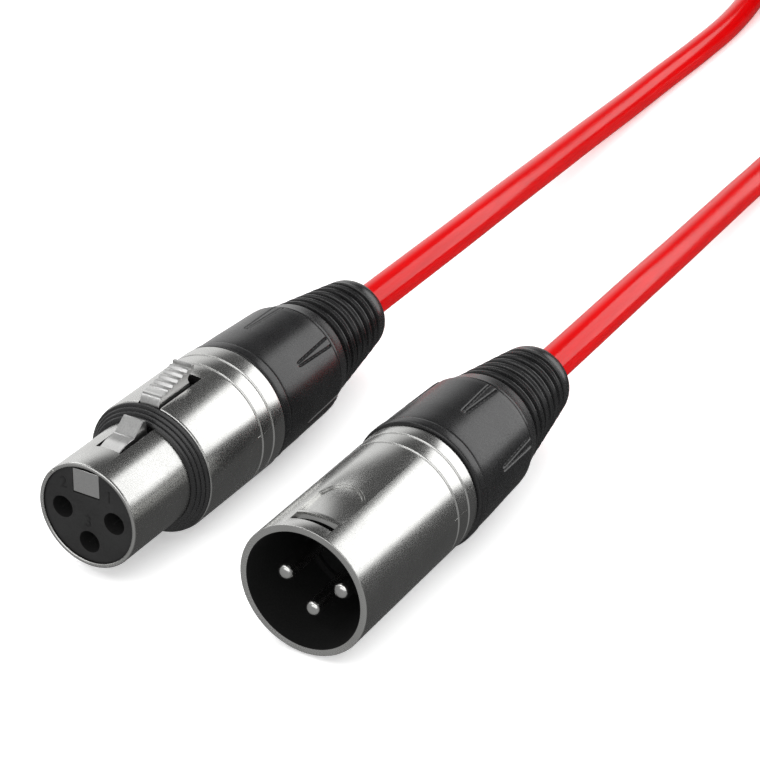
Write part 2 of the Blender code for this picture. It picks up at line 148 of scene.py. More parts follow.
def slab_grid(outline, half_width, edge):
    """Grid of a side outline (along, up) carried across, with a half width for each of its points.

    Near both sides the outline shrinks along its own normals, by a quarter circle of radius edge.
    """
    ahead = np.roll(outline, -1, axis=0) - np.roll(outline, 1, axis=0)
    ahead /= np.linalg.norm(ahead, axis=1, keepdims=True)
    normal = np.stack([ahead[:, 1], -ahead[:, 0]], axis=1)
    x, y = outline.T
    if (x * np.roll(y, -1) - np.roll(x, -1) * y).sum() < 0.0:
        normal = -normal
    quarter = np.linspace(0.0, math.pi / 2, 4)
    inset = edge * (1.0 - np.sin(quarter))
    across = edge * (1.0 - np.cos(quarter))[:, None] - half_width[None]
    inset = np.concatenate([inset, inset[::-1]])
    across = np.concatenate([across, -across[::-1]])
    ring = outline[None] - normal[None] * inset[:, None, None]
    return np.concatenate([across[..., None], ring], axis=2)


def block(x_range, along_range, up_range, x, turn=0.0):
    """Plain cutter block, turned by an angle in degrees from +X towards +Z about the connector's axis."""
    left, right = x_range
    low, high = up_range
    section = ((left, low), (right, low), (right, high), (left, high))
    corner = np.array([(a, b, c) for b in along_range for a, c in section])
    angle = math.radians(turn)
    across = corner[:, 0] * math.cos(angle) - corner[:, 2] * math.sin(angle)
    up = corner[:, 0] * math.sin(angle) + corner[:, 2] * math.cos(angle)
    return skin("cutter", np.stack([across, corner[:, 1], up], axis=1).reshape(2, 4, 3), x, loop=False)


def settle(piece):
    """Apply every modifier of a piece to its mesh."""
    bpy.context.view_layer.update()
    evaluated = piece.evaluated_get(bpy.context.evaluated_depsgraph_get())
    mesh = bpy.data.meshes.new_from_object(evaluated)
    piece.modifiers.clear()
    piece.data = mesh
    mesh.name = piece.name


def combine(piece, tools, operation="DIFFERENCE"):
    """Cut the tools out of a piece, or join them to it, and remove them."""
    for tool in tools:
        modifier = piece.modifiers.new(operation.lower(), "BOOLEAN")
        modifier.solver = "EXACT"
        modifier.operation = operation
        modifier.object = tool
    settle(piece)
    for tool in tools:
        bpy.data.objects.remove(tool, do_unlink=True)


def eased(share):
    """A share from 0 to 1, made to start and stop gently: three of its squares less two of its cubes."""
    return share * share * (3.0 - 2.0 * share)


def soften(piece, width, angle=40.0):
    """Break the sharp edges of a piece with a small round, so that they catch the light."""
    bevel = piece.modifiers.new("broken_edges", "BEVEL")
    bevel.width = width * MM
    bevel.segments = 2
    bevel.limit_method = "ANGLE"
    bevel.angle_limit = math.radians(angle)
    bevel.use_clamp_overlap = True
    settle(piece)


def hand_over(piece, body, slot, finish, *replaced, smooth=38.0):
    """Shade a piece, give it its finish and body, and name the CAD nodes that it stands for. The slot is not
    used.
    """
    if piece.type == "MESH":
        piece.data.shade_smooth()
        piece.data.set_sharp_from_angle(angle=math.radians(smooth))
    if not piece.data.materials:
        piece.data.materials.append(finish)
    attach(piece, body)
    if replaced:
        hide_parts(*replaced)
    return piece


# ---------------------------------------------------------------- finishes

def add_node(material, kind, inputs=None, **settings):
    """One shader node with its own settings, and with values or links put into its inputs."""
    node = material.node_tree.nodes.new(kind)
    for key, value in settings.items():
        setattr(node, key, value)
    for key, value in (inputs or {}).items():
        if isinstance(value, bpy.types.NodeSocket):
            material.node_tree.links.new(value, node.inputs[key])
        else:
            node.inputs[key].default_value = value
    return node


def plain(name, **sockets):
    """Material with a Principled shader whose fixed values are set on its own sockets."""
    material = bpy.data.materials.new(name)
    material.use_nodes = True
    shader = material.node_tree.nodes["Principled BSDF"]
    for key, value in sockets.items():
        shader.inputs[key.replace("_", " ")].default_value = value
    return material


def place_nodes(material, stretch=(1.0, 1.0, 1.0)):
    """Object coordinates in metres, stretched by a Mapping node."""
    coordinates = add_node(material, "ShaderNodeTexCoord")
    return add_node(material, "ShaderNodeMapping", {
        "Vector": coordinates.outputs["Object"], "Scale": stretch}).outputs["Vector"]


def cloud(material, scale, detail=3.0, rough=0.55, stretch=(1.0, 1.0, 1.0)):
    """Noise of that many cells to the metre."""
    return add_node(material, "ShaderNodeTexNoise", {
        "Vector": place_nodes(material, stretch), "Scale": scale, "Detail": detail,
        "Roughness": rough}).outputs["Fac"]


def ranged(material, value, low, high, start=0.3, end=0.7):
    """A value that lies from start to end, moved to lie from low to high."""
    return add_node(material, "ShaderNodeMapRange", {
        "Value": value, "From Min": start, "From Max": end, "To Min": low, "To Max": high}).outputs["Result"]


def feed(material, socket, value):
    """Link a value to an input of the material's own shader."""
    material.node_tree.links.new(value, material.node_tree.nodes["Principled BSDF"].inputs[socket])


def two_tone(material, dark, light, value, start=0.3, end=0.7):
    """Base colour that drifts between two close tones."""
    mix = add_node(material, "ShaderNodeMix", {
        "Factor": ranged(material, value, 0.0, 1.0, start, end)}, data_type="RGBA")
    first_colour, second_colour, colour_result = 6, 7, 2
    mix.inputs[first_colour].default_value = (*dark, 1.0)
    mix.inputs[second_colour].default_value = (*light, 1.0)
    feed(material, "Base Color", mix.outputs[colour_result])


def relief(material, height, distance, strength=1.0):
    """Bump of that height in metres."""
    bump = add_node(material, "ShaderNodeBump", {
        "Height": height, "Distance": distance, "Strength": strength})
    feed(material, "Normal", bump.outputs["Normal"])


def satin_nickel():
    """Blasted nickel plate: fine grain and a little cloudiness."""
    material = plain("satin_nickel_plate", Metallic=1.0)
    grain = cloud(material, 4600.0, 2.0, 0.5)
    cloudy = cloud(material, 160.0, 3.0)
    two_tone(material, (0.60, 0.60, 0.585), (0.69, 0.69, 0.675), cloudy)
    feed(material, "Roughness", ranged(material, grain, 0.22, 0.30))
    relief(material, grain, 0.0000016, 0.8)
    return material


def satin_steel():
    """Brushed pressed steel of the latch, brushed along its length."""
    material = plain("brushed_latch_steel", Metallic=1.0)
    brush = cloud(material, 1500.0, 2.0, 0.5, (4.0, 0.25, 4.0))
    two_tone(material, (0.58, 0.58, 0.575), (0.7, 0.7, 0.69), brush)
    feed(material, "Roughness", ranged(material, brush, 0.28, 0.4))
    relief(material, brush, 0.000008)
    return material


def bright_pin():
    """Polished nickel of the pins."""
    material = plain("bright_pin_nickel", Metallic=1.0)
    turned_marks = cloud(material, 2600.0, 2.0, 0.5, (0.3, 4.0, 0.3))
    two_tone(material, (0.62, 0.62, 0.61), (0.72, 0.72, 0.7), turned_marks)
    feed(material, "Roughness", ranged(material, turned_marks, 0.16, 0.26))
    relief(material, turned_marks, 0.000004)
    return material


def coloured_metal(name, dark, light, rough):
    """Plated or bare metal with fine drawing marks."""
    material = plain(name, Metallic=1.0)
    marks = cloud(material, 2400.0, 2.0, 0.5, (1.0, 0.3, 1.0))
    two_tone(material, dark, light, marks)
    feed(material, "Roughness", ranged(material, marks, rough, rough + 0.14))
    relief(material, marks, 0.000006)
    return material


def moulded(name, dark, light, rough, grain_height, shine=0.5):
    """Moulded plastic or rubber with a spark-eroded grain and slight cloudiness."""
    material = plain(name, IOR=1.5, Specular_IOR_Level=shine)
    grain = cloud(material, 3600.0, 3.0, 0.6)
    two_tone(material, dark, light, cloud(material, 220.0, 3.0))
    feed(material, "Roughness", ranged(material, grain, rough - 0.06, rough + 0.08))
    relief(material, grain, grain_height, 0.8)
    return material


def red_jacket():
    """Glossy soft vinyl jacket: drawn along its length, with a faint orange-peel and slight colour drift."""
    material = plain("red_vinyl_jacket", IOR=1.5, Specular_IOR_Level=0.3)
    drawn = cloud(material, 900.0, 2.0, 0.5, (1.0, 0.12, 1.0))
    peel = cloud(material, 2600.0, 2.0, 0.5)
    two_tone(material, (0.56, 0.0014, 0.0020), (0.64, 0.0020, 0.0030), drawn)
    feed(material, "Roughness", ranged(material, peel, 0.14, 0.20))
    relief(material, peel, 0.000003, 0.8)
    return material


def woven_strap():
    """Black hook-and-loop strap: crossed threads and a fuzzy nap."""
    material = plain("black_woven_strap", IOR=1.45, Sheen_Weight=0.35, Sheen_Roughness=0.5)
    coordinates = place_nodes(material)
    threads = [add_node(material, "ShaderNodeTexWave", {
        "Vector": coordinates, "Scale": 420.0, "Distortion": 0.6, "Detail": 1.0,
        "Detail Scale": 2.0}, bands_direction=direction).outputs["Fac"] for direction in ("X", "Y", "Z")]
    weave = add_node(material, "ShaderNodeMath", {0: threads[0], 1: threads[1]}, operation="ADD")
    weave = add_node(material, "ShaderNodeMath", {0: weave.outputs[0], 1: threads[2]}, operation="ADD")
    two_tone(material, (0.010, 0.010, 0.011), (0.035, 0.035, 0.037), weave.outputs[0], 0.6, 2.2)
    feed(material, "Roughness", ranged(material, cloud(material, 900.0), 0.72, 0.92))
    relief(material, weave.outputs[0], 0.00010, 0.7)
    return material


NICKEL = satin_nickel()
STEEL = satin_steel()
PIN = bright_pin()
GOLD = coloured_metal("gold_flash", (0.72, 0.48, 0.16), (0.86, 0.62, 0.26), 0.2)
COPPER = coloured_metal("bare_copper_braid", (0.60, 0.28, 0.16), (0.78, 0.42, 0.26), 0.3)
SPRING = coloured_metal("blued_spring_steel", (0.34, 0.34, 0.36), (0.46, 0.46, 0.48), 0.28)
BOOT = moulded(
    "hard_black_boot", (0.008, 0.008, 0.0085), (0.015, 0.015, 0.0155), 0.28, 0.000003, shine=0.62)
RUBBER = moulded(
    "soft_black_rubber", (0.008, 0.008, 0.0085), (0.015, 0.015, 0.0155), 0.25, 0.000004, shine=0.66)
INSERT = moulded(
    "grey_black_insert", (0.010, 0.010, 0.010), (0.015, 0.015, 0.015), 0.55, 0.000010)
# Near black that stands for shade: painted shade inside the shells and inside the female insert's holes, and
# on the male insert, which is black plastic made darker as painted shade for its deep place in the shell
PAINTED_SHADE_BLACK = moulded(
    "painted_shade_black", (0.0012, 0.0012, 0.0012), (0.0022, 0.0022, 0.0022), 0.85, 0.000010)
MARKING = moulded(
    "pin_number_black", (0.004, 0.004, 0.004), (0.008, 0.008, 0.008), 0.5, 0.000006)
CHUCK = moulded(
    "dark_grey_chuck_plastic", (0.035, 0.035, 0.035), (0.05, 0.05, 0.05), 0.5, 0.000012)
WHITE_CORE = moulded(
    "white_core_insulation", (0.62, 0.62, 0.60), (0.74, 0.74, 0.72), 0.42, 0.000008)
BLUE_CORE = moulded(
    "blue_core_insulation", (0.02, 0.09, 0.34), (0.035, 0.13, 0.44), 0.42, 0.000008)
RED = red_jacket()
STRAP = woven_strap()


# ---------------------------------------------------------------- camera, cable and tie

def camera():
    """Camera that looks down along the connectors from the front right.

    Its angles are in radians and its place in metres.
    """
    yaw = -0.516868
    pitch = 0.504146
    roll = 0.020556
    stand = (0.149245, -0.24903, 0.17964)
    forward = Vector((math.sin(yaw) * math.cos(pitch), math.cos(yaw) * math.cos(pitch), -math.sin(pitch)))
    right = forward.cross(Vector((0.0, 0.0, 1.0))).normalized()
    up = right.cross(forward)
    across = math.cos(roll) * right + math.sin(roll) * up
    above = math.cos(roll) * up - math.sin(roll) * right
    data = bpy.data.cameras.new("camera")
    data.lens = 111.52
    data.sensor_width = 36.0
    data.clip_start = 0.01
    eye = bpy.data.objects.new("camera", data)
    turn = Matrix((across, above, -forward)).transposed().to_4x4()
    eye.matrix_world = Matrix.Translation(stand) @ turn
    bpy.context.scene.collection.objects.link(eye)
    bpy.context.scene.camera = eye


def coil_points(per_turn=16):
    """Centreline of the winding, clockwise from above, eleven and a half turns in a section of four by three.

    The angle falls evenly. On the far half a turn stays in its cell of the section; on the near half it eases
    into the next cell, each turn a little sooner than the one before, while the cells stand further apart.
    """
    turns = len(COIL_CELLS) - 0.5
    travelled = np.linspace(0.0, 360.0 * turns, int(per_turn * turns) + 1)
    strand = np.minimum((travelled // 360.0).astype(int), len(COIL_CELLS) - 1)
    near = np.clip(travelled - 360.0 * strand - 180.0, 0.0, 180.0)
    middle = 90.0 + 11.0 * (5 - strand)
    shift_span = 70.0
    ease = eased(np.clip((near - middle + shift_span / 2) / shift_span, 0.0, 1.0))
    cell = np.array(COIL_CELLS + COIL_CELLS[-1:], float)
    now = cell[strand] * (1.0 - ease[:, None]) + cell[strand + 1] * ease[:, None]
    near_gap = 0.28
    pitch = 2 * CABLE_R * (1.0 + near_gap * np.sin(np.radians(near)) ** 2)
    middle_cell = 1.5
    radius = COIL_MID_R + (now[:, 0] - middle_cell) * pitch
    height = COIL_FLOOR + CABLE_R + now[:, 1] * pitch
    angle = np.radians(180.0 - travelled)
    across = COIL_CENTRE[0] + radius * np.cos(angle)
    along = COIL_CENTRE[1] + radius * np.sin(angle)
    return np.stack([across, along, height], axis=1)


def cable(tie):
    """The whole lead on one smooth curve, from the female boot to the coil and back to the male boot."""
    inside = 1.5
    start = [(FEMALE_X, BOOT_END_Y["female"] - inside, AXIS_Z)]
    end = [(MALE_X, BOOT_END_Y["male"] - inside, AXIS_Z)]
    route = np.concatenate([start, FEMALE_ROUTE, coil_points(), MALE_ROUTE[::-1], end]) * MM
    curve = bpy.data.curves.new("red_cable", "CURVE")
    curve.dimensions = "3D"
    curve.resolution_u = 8
    curve.bevel_depth = CABLE_R * MM
    curve.bevel_resolution = 8
    curve.use_fill_caps = True
    spline = curve.splines.new("BEZIER")
    spline.bezier_points.add(len(route) - 1)
    spline.bezier_points.foreach_set("co", route.ravel())
    for point in spline.bezier_points:
        point.handle_left_type = "AUTO"
        point.handle_right_type = "AUTO"
    piece = bpy.data.objects.new("red_cable", curve)
    bpy.context.scene.collection.objects.link(piece)
    hand_over(piece, "root", "red_jacket", RED, "cable_female_side", "cable_male_side", "cable_coil")


def strap_ring(near, far, low, high, radius, count):
    """Closed rounded rectangle in (along, up), evenly stepped, from the middle of its top."""
    corner = np.array([(far, high), (far, low), (near, low), (near, high)], float)
    inward = np.array([(-1, -1), (-1, 1), (1, 1), (1, -1)]) * radius
    first = np.array([90.0, 0.0, -90.0, -180.0])
    angle = np.radians(first[:, None] - np.linspace(0.0, 90.0, 13)[None])
    arc = (corner + inward)[:, None] + radius * np.stack([np.cos(angle), np.sin(angle)], axis=2)
    top = np.array([[(near + far) / 2, high]])
    line = np.concatenate([top, arc.reshape(-1, 2), top])
    step = np.concatenate([[0.0], np.cumsum(np.linalg.norm(np.diff(line, axis=0), axis=1))])
    even = np.linspace(0.0, step[-1], count)
    return np.stack([np.interp(even, step, line[:, k]) for k in (0, 1)], axis=1)


def coil_tie():
    """Hook-and-loop strap: a flat band carried once round the bundle and lapped over itself on top.

    Its section is a flat oval, and its path a rounded rectangle that rises by one thickness over the lap.
    """
    thick = 1.1
    half_width = 6.0
    lap_height = thick + 0.05
    shift = COIL_CENTRE[1] - FRONT_Y
    steps = 150
    lap_steps = 24
    inner = strap_ring(23.4 - thick / 2, 46.4 + thick / 2, 0.62, 18.2 + thick / 2, 3.0, steps)
    share = np.linspace(0.0, 1.0, steps)
    rise = eased(np.clip((share - 0.86) / 0.05, 0.0, 1.0)) * lap_height
    over = inner[-1] + np.stack([np.linspace(0.4, 9.0, lap_steps), np.full(lap_steps, lap_height)], axis=1)
    lifted = inner + np.stack([np.zeros(steps), rise], axis=1)
    path = np.concatenate([inner[:1] - ((3.5, 0.0),), lifted, over])
    tangent = np.gradient(path, axis=0)
    tangent /= np.linalg.norm(tangent, axis=1, keepdims=True)
    outward = np.stack([-tangent[:, 1], tangent[:, 0]], axis=1)
    around = np.linspace(0.0, 2 * math.pi, 28, endpoint=False)
    flat = np.sign(np.cos(around)) * np.abs(np.cos(around)) ** 0.25 * half_width
    proud = np.sign(np.sin(around)) * np.abs(np.sin(around)) ** 0.35 * thick / 2
    spot = path[:, None] + outward[:, None] * proud[None, :, None]
    across = np.broadcast_to(flat[None, :, None] + COIL_CENTRE[0], spot.shape[:2] + (1,))
    place = np.concatenate([across, spot[..., :1] + shift, spot[..., 1:] - AXIS_Z], axis=2)
    tie = skin("hook_and_loop_tie", place, 0.0, loop=False)
    return hand_over(tie, "root", "black_strap", STRAP, "coil_tie")


camera()
cable(coil_tie())


# ---------------------------------------------------------------- connectors

def groove(middle, radius, half=0.22, depth=0.27):
    """Corners of a small turned groove in an outer face."""
    return [(middle - half, radius, 0.06), (middle - half * 0.3, radius - depth, 0.05),
            (middle + half * 0.3, radius - depth, 0.05), (middle + half, radius, 0.06)]


def face_centres(mesh, x):
    """Middle of every face, as (across, along, up) about the connector's axis at x."""
    centre = np.zeros(len(mesh.polygons) * 3)
    mesh.polygons.foreach_get("center", centre)
    return centre.reshape(-1, 3) / MM - (x, FRONT_Y, AXIS_Z)


def two_finishes(mesh, main, other, chosen):
    """Main finish, and the other one on the chosen faces."""
    mesh.materials.append(main)
    mesh.materials.append(other)
    mesh.polygons.foreach_set("material_index", chosen.astype(np.int32))


def shade_painted_inside(piece, x, steps):
    """Nickel, with painted shade in near black on faces nearer the axis than a radius. Each step is where it
    starts and its radius.
    """
    centre = face_centres(piece.data, x)
    start, radius = np.array(steps).T
    limit = radius[np.searchsorted(start, centre[:, 1]) - 1]
    two_finishes(piece.data, NICKEL, PAINTED_SHADE_BLACK, np.hypot(centre[:, 0], centre[:, 2]) < limit)


def female_shell():
    """Turned stepped tube with rolled lip, latch window, thumb-tab slot, two grooves and an axial nick."""
    shell = skin("female_shell_detail", spun(rounded([
        (0.0, BARREL_BORE, 0.28), (0.0, BARREL_RADIUS, 0.36),
        (BODY_START, BARREL_RADIUS, 0.1), (BODY_START, BODY_RADIUS, 0.35),
        *groove(28.1, BODY_RADIUS), *groove(31.0, BODY_RADIUS),
        (FEMALE_REAR, BODY_RADIUS, 0.35), (FEMALE_REAR, REAR_BORE, 0.1),
        (16.5, REAR_BORE, 0.1), (16.5, BARREL_BORE, 0.1),
    ]), 192), FEMALE_X)
    window = block((-2.05, 2.05), (5.3, 13.6), (5.0, 9.0), FEMALE_X)
    tab_slot = block((-1.85, 1.85), (14.4, 25.1), (5.0, 11.0), FEMALE_X)
    lip_notch = block((7.55, 8.4), (-0.5, 0.75), (-0.6, 0.6), FEMALE_X, 137.0)
    nick = block((10.04, 10.5), (27.0, 30.4), (-0.06, 0.06), FEMALE_X, 10.5)
    combine(shell, [window, tab_slot, lip_notch, nick])
    soften(shell, 0.07)
    # Painted shade: near black on the bore and the other inside faces, where the shell lies in shade
    shade_painted_inside(shell, FEMALE_X, [(-9.0, 7.34), (4.0, 7.85), (14.6, 9.86)])
    hand_over(shell, "root", "satin_nickel", NICKEL, "female_shell")


def female_ring():
    """Rubber ring with four fine ridges on a cone.

    Its radius grows evenly from the barrel to the body, plus a rounded wave of four crests.
    """
    along = np.linspace(13.0, 14.97, 97)
    share = (along - along[0]) / (along[-1] - along[0])
    cone = 8.1 + 1.75 * share
    radius = cone + 0.3 * np.abs(np.sin(4 * math.pi * share)) ** 0.6
    profile = np.concatenate([np.stack([along, radius], axis=1), [(14.97, 8.0), (13.0, 8.0)]])
    ring = skin("ribbed_ring", spun(profile, 160), FEMALE_X)
    hand_over(ring, "root", "black_rubber", RUBBER, "female_ring")


def contact_place(number):
    """Where a contact's own axis lies, as (across, up)."""
    angle = math.radians(CONTACT_ANGLES[number])
    return CONTACT_RADIUS * math.cos(angle), CONTACT_RADIUS * math.sin(angle)


def female_insert():
    """Moulded face with three entry holes, painted shade in near black inside them, and a keyway for the
    latch.
    """
    insert = skin("female_insert_detail", spun(rounded([
        (0.35, 0.05, 0.02), (0.35, 7.28, 0.04), (16.8, 7.28, 0.1), (16.8, 8.4, 0.1), (19.0, 8.4, 0.2),
        (19.0, 0.05, 0.02),
    ]), 128), FEMALE_X)
    bore = rounded([(-1.0, 0.05, 0.02), (-1.0, 1.65, 0.02), (20.0, 1.65, 0.02), (20.0, 0.05, 0.02)], 2)
    keyway = block((-2.36, 2.0), (-1.0, 20.0), (2.95, 10.0), FEMALE_X)
    holes = [skin("cutter", spun(bore, 48, contact_place(number)), FEMALE_X) for number in CONTACT_ANGLES]
    combine(insert, [keyway, *holes])
    soften(insert, 0.05)
    centre = face_centres(insert.data, FEMALE_X)
    hole = np.array([contact_place(number) for number in CONTACT_ANGLES])
    near = np.hypot(centre[:, None, 0] - hole[None, :, 0], centre[:, None, 2] - hole[None, :, 1]).min(axis=1)
    # Painted shade: near black on the faces inside the three holes
    two_finishes(insert.data, INSERT, PAINTED_SHADE_BLACK, (near < 1.68) & (centre[:, 1] > 0.4))
    hand_over(insert, "root", "insert_plastic", INSERT, "female_insert")


def socket_sleeves():
    """Three split sleeves that the pins slide into: a turned tube with a solder post, slit on both sides."""
    tube = rounded([
        (4.8, 1.25, 0.05), (4.8, 1.58, 0.12), (18.7, 1.58, 0.1), (18.7, 1.0, 0.1), (21.5, 1.0, 0.25),
        (21.5, 0.03, 0.01), (16.0, 0.03, 0.01), (16.0, 1.25, 0.1),
    ], 4)
    for number in CONTACT_ANGLES:
        across, up = contact_place(number)
        sleeve = skin(f"split_socket_{number}", spun(tube, 48, (across, up)), FEMALE_X)
        slit = block((across - 2.0, across + 2.0), (4.0, 12.0), (up - 0.16, up + 0.16), FEMALE_X)
        combine(sleeve, [slit])
        hand_over(sleeve, "root", "gold_plating", GOLD, f"female_contact_{number}")


def pin_numbers():
    """Raised pole numbers beside the three holes."""
    marks = []
    for text, across, up in (("1", 3.55, 3.8), ("2", -3.95, 3.85), ("3", -0.1, -1.1)):
        data = bpy.data.curves.new("mark", "FONT")
        data.body = text
        data.size = 2.5 * MM
        data.extrude = 0.03 * MM
        data.align_x = "CENTER"
        data.align_y = "CENTER"
        letter = bpy.data.objects.new("mark", data)
        bpy.context.scene.collection.objects.link(letter)
        mark = bpy.data.meshes.new_from_object(letter)
        bpy.data.objects.remove(letter, do_unlink=True)
        stand = Matrix.Translation(((FEMALE_X + across) * MM, (FRONT_Y + 0.34) * MM, (AXIS_Z + up) * MM))
        mark.transform(stand @ Matrix.Rotation(math.pi / 2, 4, "X"))
        marks.append(mark)
    points = [np.array([vertex.co[:] for vertex in mark.vertices]) for mark in marks]
    first = np.cumsum([0] + [len(group) for group in points])
    faces = [
        [corner + shift for corner in face.vertices]
        for mark, shift in zip(marks, first) for face in mark.polygons
    ]
    mesh = bpy.data.meshes.new("pole_numbers")
    mesh.from_pydata(np.concatenate(points).tolist(), [], faces)
    piece = bpy.data.objects.new("pole_numbers", mesh)
    bpy.context.scene.collection.objects.link(piece)
    hand_over(piece, "root", "insert_plastic", MARKING)


def female_latch():
    """Pressed lever: wide front bar, narrower sloped hook, and thumb tab with soft ridges and a rear knob.

    Its side outlines are carried across. The ridges' top is a rising line plus a sine wave.
    """
    steps = 4
    x = FEMALE_X - 0.18
    underside_and_rear = [
        (0.38, 3.12, 0.08), (2.4, 3.12, 0.3), (22.4, 6.1, 0.4), (22.9, 9.6, 0.5), (22.75, 10.3, 0.4),
        (22.3, 11.15, 0.4), (22.9, 11.5, 0.3), (23.9, 11.65, 0.4), (24.1, 12.6, 0.4), (23.5, 12.75, 0.2),
    ]
    tab_front_and_hook = [
        (16.9, 11.3, 0.4), (15.7, 11.1, 0.7), (15.22, 9.7, 0.3), (15.2, 6.6, 0.2), (12.5, 6.6, 0.2),
        (12.15, 9.35, 0.15), (11.6, 9.6, 0.12), (9.3, 7.9, 0.2), (7.6, 7.9, 0.8), (5.6, 7.3, 0.4),
        (5.5, 6.75, 0.1), (0.38, 6.75, 0.08),
    ]
    outline = rounded(underside_and_rear + tab_front_and_hook, steps)
    rear = steps * len(underside_and_rear)
    along = np.linspace(17.3, 23.3, 61)
    top = 11.2 + 0.2 * (along - 17.3) + 0.2 * np.sin((along - 17.3) / 1.2 * 2 * math.pi - 1.2)
    lever = np.concatenate([outline[:rear], np.stack([along, top], axis=1)[::-1], outline[rear:]])
    half_width = np.interp(lever[:, 0], [13.0, 15.0], [1.66, 1.6])
    latch = skin("latch_lever", slab_grid(lever, half_width, 0.1), x, loop=False)
    front = rounded([
        (0.38, 3.12, 0.08), (2.4, 3.12, 0.3), (5.2, 3.55, 0.1), (5.2, 6.75, 0.3), (0.38, 6.75, 0.08)], steps)
    bar = skin("cutter", slab_grid(front, np.full(len(front), 2.13), 0.08), x, loop=False)
    ends = np.array([(-2.65, 0.0, 0.0), (2.65, 0.0, 0.0)])
    around = np.linspace(0.0, 2 * math.pi, 24, endpoint=False)
    ring = np.stack([np.zeros(24), 1.8 + 0.6 * np.cos(around), 5.0 + 0.6 * np.sin(around)], axis=1)
    pin = skin("cutter", ends[:, None] + ring[None], FEMALE_X, loop=False)
    combine(latch, [bar, pin], "UNION")
    even = latch.modifiers.new("even_shading", "WEIGHTED_NORMAL")
    even.keep_sharp = True
    hand_over(latch, "latch", "satin_steel", STEEL, "female_latch", smooth=32.0)


def thumb_recess(reach, depth):
    """Cutter for a thumb recess of that depth, with straight sides and a half circle behind.

    It is the part of a straight prism that lies outside a round core.
    """
    side = np.linspace(0.0, math.pi, 25)
    outline = np.concatenate([
        np.array([(-reach, 4.35), (reach, 4.35)]),
        np.stack([reach * np.cos(side), 8.9 + reach * np.sin(side)], axis=1),
    ])
    prism = np.stack([
        np.stack([outline[:, 0], outline[:, 1], np.full(len(outline), up)], axis=1) for up in (8.0, 11.0)])
    recess = skin("cutter", prism, MALE_X, loop=False)
    floor_radius = MALE_RADIUS - depth
    core = [(0.0, 0.05), (0.0, floor_radius), (20.0, floor_radius), (20.0, 0.05)]
    combine(recess, [skin("cutter", spun(core, 192), MALE_X)])
    return recess


def male_shell():
    """Plain tube with a flat lip, a catch slot, a stepped thumb recess, two grooves and an axial nick."""
    shell = skin("male_shell_detail", spun(rounded([
        (0.0, MALE_BORE, 0.06), (0.0, MALE_RADIUS, 0.12),
        *groove(24.4, MALE_RADIUS), *groove(27.3, MALE_RADIUS),
        (MALE_REAR, MALE_RADIUS, 0.35), (MALE_REAR, REAR_BORE, 0.1), (15.2, REAR_BORE, 0.1),
        (15.2, 7.6, 0.1), (14.0, 7.6, 0.1), (14.0, MALE_BORE, 0.1),
    ]), 192), MALE_X)
    recesses = [thumb_recess(3.35, 0.12), thumb_recess(3.0, 0.36)]
    catch_slot = block((-3.1, 3.1), (1.9, 3.75), (5.0, 11.0), MALE_X)
    nick = block((9.49, 10.0), (23.4, 26.6), (-0.06, 0.06), MALE_X, 7.5)
    combine(shell, [catch_slot, *recesses, nick])
    soften(shell, 0.06)
    # Painted shade: near black on the bore and the other inside faces, where the shell lies in shade
    shade_painted_inside(shell, MALE_X, [(-9.0, 8.62)])
    hand_over(shell, "root", "satin_nickel", NICKEL, "male_shell")


def male_insert():
    """Black moulded disc behind the pins, with a hole for each, in a near black darker than the female
    insert's: painted shade for its deep place in the shell.
    """
    insert = skin("male_insert_detail", spun(rounded([
        (14.2, 0.05, 0.02), (14.2, 7.3, 0.15), (15.5, 7.3, 0.1), (15.5, 8.4, 0.1), (17.5, 8.4, 0.2),
        (17.5, 0.05, 0.02),
    ]), 128), MALE_X)
    bore = [(12.0, 0.05), (12.0, 1.32), (20.0, 1.32), (20.0, 0.05)]
    holes = [skin("cutter", spun(bore, 40, contact_place(number)), MALE_X) for number in CONTACT_ANGLES]
    combine(insert, holes)
    soften(insert, 0.06)
    # Black plastic, made near black as painted shade
    hand_over(insert, "root", "insert_plastic", PAINTED_SHADE_BLACK, "male_insert")


def male_pins():
    """Three turned pins: the nose is a quarter of a flattened circle, and the tail a plain solder post."""
    quarter = np.linspace(0.0, math.pi / 2, 12)[1:]
    nose = np.stack([2.1 + 0.8 * (1.0 - np.sin(quarter)), 0.3 + 0.94 * np.cos(quarter)], axis=1)[::-1]
    nose = np.concatenate([[(2.085, 0.02), (2.09, 0.15)], nose])
    rest = rounded([(17.8, 1.24, 0.1), (17.8, 1.0, 0.05), (19.0, 1.0, 0.25), (19.0, 0.02, 0.01)])
    for number in CONTACT_ANGLES:
        grid = spun(np.concatenate([nose, rest]), 40, contact_place(number))
        pin = skin(f"round_nosed_pin_{number}", grid, MALE_X, loop=False)
        hand_over(pin, "root", "pin_nickel", PIN, f"male_pin_{number}")


def nut_angles(first):
    """Angles round a nut, close together over its six tongues and wide apart between them."""
    near = np.linspace(-10.0, 10.0, 61)
    wide = np.linspace(10.0, 50.0, 14)[1:-1]
    tongue = first + 60.0 * np.arange(6)
    return np.radians((tongue[:, None] + np.concatenate([near, wide])[None]).ravel())


